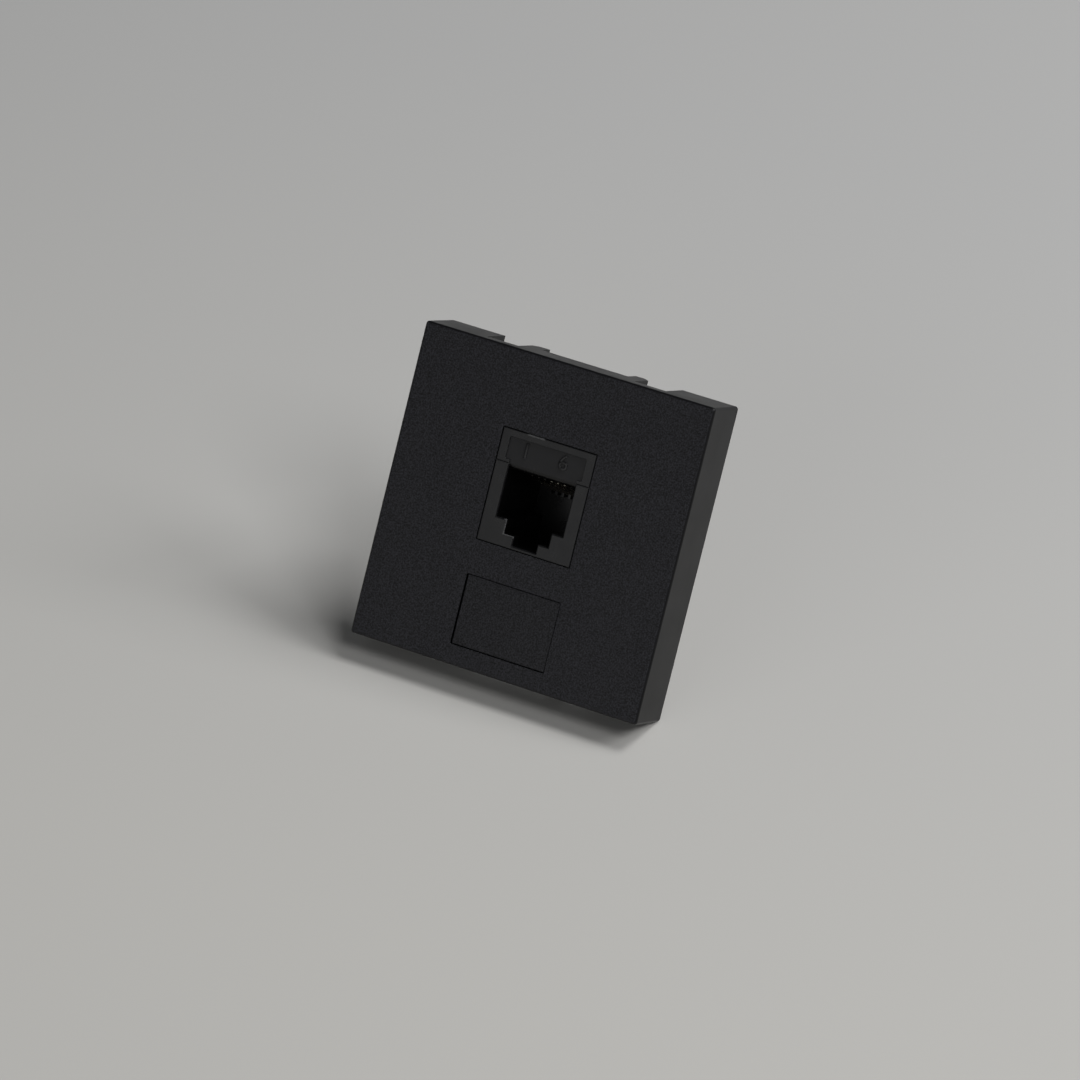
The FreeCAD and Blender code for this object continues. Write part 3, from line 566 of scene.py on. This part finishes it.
# %% [markdown]
# ## Circuit board
# The board is glass cloth in resin under a green mask, with bare edges. Two materials, one for
# its faces and one for its edges, would need its mesh sorted face by face. Instead, the place
# through the thickness says whether a point is on a masked face or on a sawn edge, and two
# crossed sets of fine waves make the cloth's weave.

# %% Circuit board
WEAVE = 0.45 * MM
WEAVE_DEPTH = 0.01 * MM
WEAVE_WANDER = 0.6
# At a scale of 1, the bands of a wave texture are about this far apart.
WAVE_SPACING = 0.3
BOARD_GLOSS = (0.30, 0.42)
MASK_THICKNESS = 0.04 * MM
MASK_GREEN = (0.012, 0.105, 0.04, 1.0)
BARE_EDGE = (0.34, 0.31, 0.16, 1.0)

board_laminate, tree, shader = start_finish("green_board")
threads = {"Vector": object_space(tree), "Scale": WAVE_SPACING / WEAVE,
           "Distortion": WEAVE_WANDER}
warp = add_node(tree, "TexWave", threads, bands_direction="X").outputs["Fac"]
weft = add_node(tree, "TexWave", threads, bands_direction="Z").outputs["Fac"]
weave = calculate(tree, "MULTIPLY", warp, weft)
board_low, board_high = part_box("circuit_board")
half = (board_high.y - board_low.y) / 2
off_middle = calculate(tree, "SUBTRACT", along(tree, "Y"), (board_low.y + board_high.y) / 2)
reach = add_node(tree, "Math", {0: off_middle}, operation="ABSOLUTE").outputs["Value"]
masked = spread_over(tree, reach, 0.0, 1.0, half - 2 * MASK_THICKNESS, half - MASK_THICKNESS)
feed(tree, shader.inputs["Base Color"], blend_colours(tree, masked, BARE_EDGE, MASK_GREEN))
feed(tree, shader.inputs["Roughness"], spread_over(tree, weave, *BOARD_GLOSS, 0.0, 1.0))
relief(tree, shader, weave, WEAVE_DEPTH)
print("made", board_laminate.name)

# %% [markdown]
# ## Dress the solids
# Every solid carries a slot of the part's record, so a short table from slot to finish dresses
# them all. A table from each solid to its finish would do as well, but it would be longer and
# would have to be kept in step by hand.

# %% Dress the solids
finish_of_slot = {
    "plate_plastic": plate_plastic,
    "label_plastic": label_plastic,
    "jack_plastic": jack_plastic,
    "contact_gold": contact_gold,
    "board_laminate": board_laminate,
    "block_plastic": block_plastic,
    "blade_metal": blade_metal,
    "cap_plastic": cap_plastic,
}
for subpart in frame["record"]["subparts"]:
    node = nodes[subpart["node"]]
    node.material_slots[0].material = finish_of_slot[subpart["material_slot"]]

# %% [markdown]
# ## Raised figures
# The ways of the jack and of the terminals are numbered, so that an installer can tell them
# apart, and the figures stand up from the moulding. A bump map could draw them, but a real edge
# catches the light by itself and is still there from the side. Each figure is written as text,
# thickened with a small bevel and turned to a mesh that stands half in and half out of its wall.

# %% Raised figures
DIGIT_SHARE = 0.70
DIGIT_BEVEL = 0.05 * MM
WELD = 0.001 * MM
SMOOTH_ANGLE = math.radians(35.0)


def settle(piece, finish):
    """Place applied, soft edges shaded smooth, finish and slot given, carried by the module."""
    bpy.ops.object.transform_apply(location=True, rotation=True, scale=True)
    bpy.ops.object.shade_smooth_by_angle(angle=SMOOTH_ANGLE)
    piece.data.name = piece.name
    piece.data.materials.clear()
    piece.data.materials.append(finish)
    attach(piece, "module")


def raised_figure(name, digit, height, rise, place, facing, finish):
    """Digit of that height and rise on a wall; facing turns it from lying flat to the wall."""
    bpy.ops.object.select_all(action="DESELECT")
    bpy.ops.object.text_add(location=place, rotation=facing)
    figure = bpy.context.object
    figure.name = name
    figure.data.body = digit
    figure.data.align_x = "CENTER"
    figure.data.align_y = "CENTER"
    figure.data.size = height / DIGIT_SHARE
    figure.data.extrude = rise - DIGIT_BEVEL
    figure.data.bevel_depth = DIGIT_BEVEL
    figure.data.bevel_resolution = 1
    bpy.ops.object.convert(target="MESH")
    bpy.ops.object.mode_set(mode="EDIT")
    bpy.ops.mesh.select_all(action="SELECT")
    bpy.ops.mesh.remove_doubles(threshold=WELD)
    bpy.ops.mesh.normals_make_consistent(inside=False)
    bpy.ops.object.mode_set(mode="OBJECT")
    settle(figure, finish)


FIELD_DEPTH = 0.2 * MM
FIELD_FIGURE_LEVEL = 9.05 * MM
FIELD_FIGURE_HEIGHT = 2.2 * MM
FIELD_FIGURE_RISE = 0.15 * MM
FIELD_FIGURES = {"1": -3.2 * MM, "6": 2.6 * MM}
to_front = (math.radians(90.0), 0.0, 0.0)
for digit, x in FIELD_FIGURES.items():
    place = (x, FACE + FIELD_DEPTH, FIELD_FIGURE_LEVEL)
    raised_figure(f"field_figure_{digit}", digit, FIELD_FIGURE_HEIGHT, FIELD_FIGURE_RISE,
                  place, to_front, jack_plastic)

TOWER_LENGTH = 9.5 * MM
WAYS_PER_ROW = 3
WAY_PITCH = 4.0 * MM
WAY_FIGURE_HEIGHT = 1.5 * MM
WAY_FIGURE_RISE = 0.08 * MM
WAY_FIGURE_LEVELS = (5.6 * MM, 1.5 * MM)
block_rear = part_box("terminal_block")[1].y - TOWER_LENGTH
to_rear = (math.radians(90.0), 0.0, math.radians(180.0))
middle_way = WAYS_PER_ROW // 2
for row, level in enumerate(WAY_FIGURE_LEVELS):
    for way in range(WAYS_PER_ROW):
        digit = str(WAYS_PER_ROW * row + way + 1)
        place = ((middle_way - way) * WAY_PITCH, block_rear, level)
        raised_figure(f"way_figure_{digit}", digit, WAY_FIGURE_HEIGHT, WAY_FIGURE_RISE,
                      place, to_rear, block_plastic)
print("raised", len(FIELD_FIGURES), "figures on the jack and six on the block")

# %% [markdown]
# ## Ejector marks and gate
# The back of the face plate shows how it was moulded: round marks where pins pushed it out of
# the mould, and the stub where the plastic came in. A decal would be flat, so one mark is
# modelled as a low disc whose end is inset to leave a rim and sunk a little inside it; the
# others are copies of it. The stub is a low cone with its broken end tipped.

# %% Ejector marks and gate
FACE_WALL = 2.2 * MM
PIN_RADIUS = 1.2 * MM
PIN_RISE = 0.06 * MM
PIN_RIM = 0.22 * MM
PIN_DISH = 0.035 * MM
PIN_PLACES = [(x * MM, z * MM) for x in (-15.0, 15.0) for z in (-17.5, -6.5, 6.5, 17.5)]
GATE_RADIUS = 0.8 * MM
GATE_RISE = 0.07 * MM
GATE_LEVEL = 17.8 * MM
GATE_END = 0.7 * GATE_RADIUS
GATE_RIM = 0.25 * GATE_RADIUS
GATE_TILT = math.radians(2.0)
FACING_REAR = 0.9
back_of_face = FACE + FACE_WALL
to_back = (math.radians(-90.0), 0.0, 0.0)


def select_rear_face(piece):
    """Edit mode with only the face that looks along +Y selected."""
    bpy.ops.object.mode_set(mode="EDIT")
    bpy.ops.mesh.select_mode(type="FACE")
    bpy.ops.mesh.select_all(action="DESELECT")
    bpy.ops.object.mode_set(mode="OBJECT")
    for face in piece.data.polygons:
        face.select = face.normal.y > FACING_REAR
    bpy.ops.object.mode_set(mode="EDIT")


first_x, first_z = PIN_PLACES[0]
bpy.ops.object.select_all(action="DESELECT")
bpy.ops.mesh.primitive_cylinder_add(vertices=48, radius=PIN_RADIUS, depth=2 * PIN_RISE,
                                    rotation=to_back, location=(first_x, back_of_face, first_z))
pin_mark = bpy.context.object
pin_mark.name = "pin_mark_1"
bpy.ops.object.transform_apply(location=False, rotation=True, scale=True)
select_rear_face(pin_mark)
bpy.ops.mesh.inset(thickness=PIN_RIM)
bpy.ops.mesh.inset(thickness=PIN_DISH)
bpy.ops.transform.translate(value=(0.0, -PIN_DISH, 0.0))
bpy.ops.object.mode_set(mode="OBJECT")
for number, (x, z) in enumerate(PIN_PLACES[1:], start=2):
    bpy.ops.object.select_all(action="DESELECT")
    pin_mark.select_set(True)
    bpy.context.view_layer.objects.active = pin_mark
    bpy.ops.object.duplicate(linked=False)
    copy = bpy.context.object
    copy.name = f"pin_mark_{number}"
    bpy.ops.transform.translate(value=(x - first_x, 0.0, z - first_z))
    settle(copy, plate_plastic)
bpy.ops.object.select_all(action="DESELECT")
pin_mark.select_set(True)
bpy.context.view_layer.objects.active = pin_mark
settle(pin_mark, plate_plastic)

bpy.ops.object.select_all(action="DESELECT")
bpy.ops.mesh.primitive_cone_add(vertices=32, radius1=GATE_RADIUS, radius2=GATE_END,
                                depth=2 * GATE_RISE, rotation=to_back,
                                location=(0.0, back_of_face, GATE_LEVEL))
gate_mark = bpy.context.object
gate_mark.name = "gate_mark"
bpy.ops.object.transform_apply(location=True, rotation=True, scale=True)
select_rear_face(gate_mark)
bpy.ops.mesh.inset(thickness=GATE_RIM)
bpy.ops.transform.rotate(value=GATE_TILT, orient_axis="X",
                         center_override=(0.0, back_of_face + GATE_RISE, GATE_LEVEL))
bpy.ops.object.mode_set(mode="OBJECT")
settle(gate_mark, plate_plastic)
print("marked the back of the face with", len(PIN_PLACES), "pins and a gate")
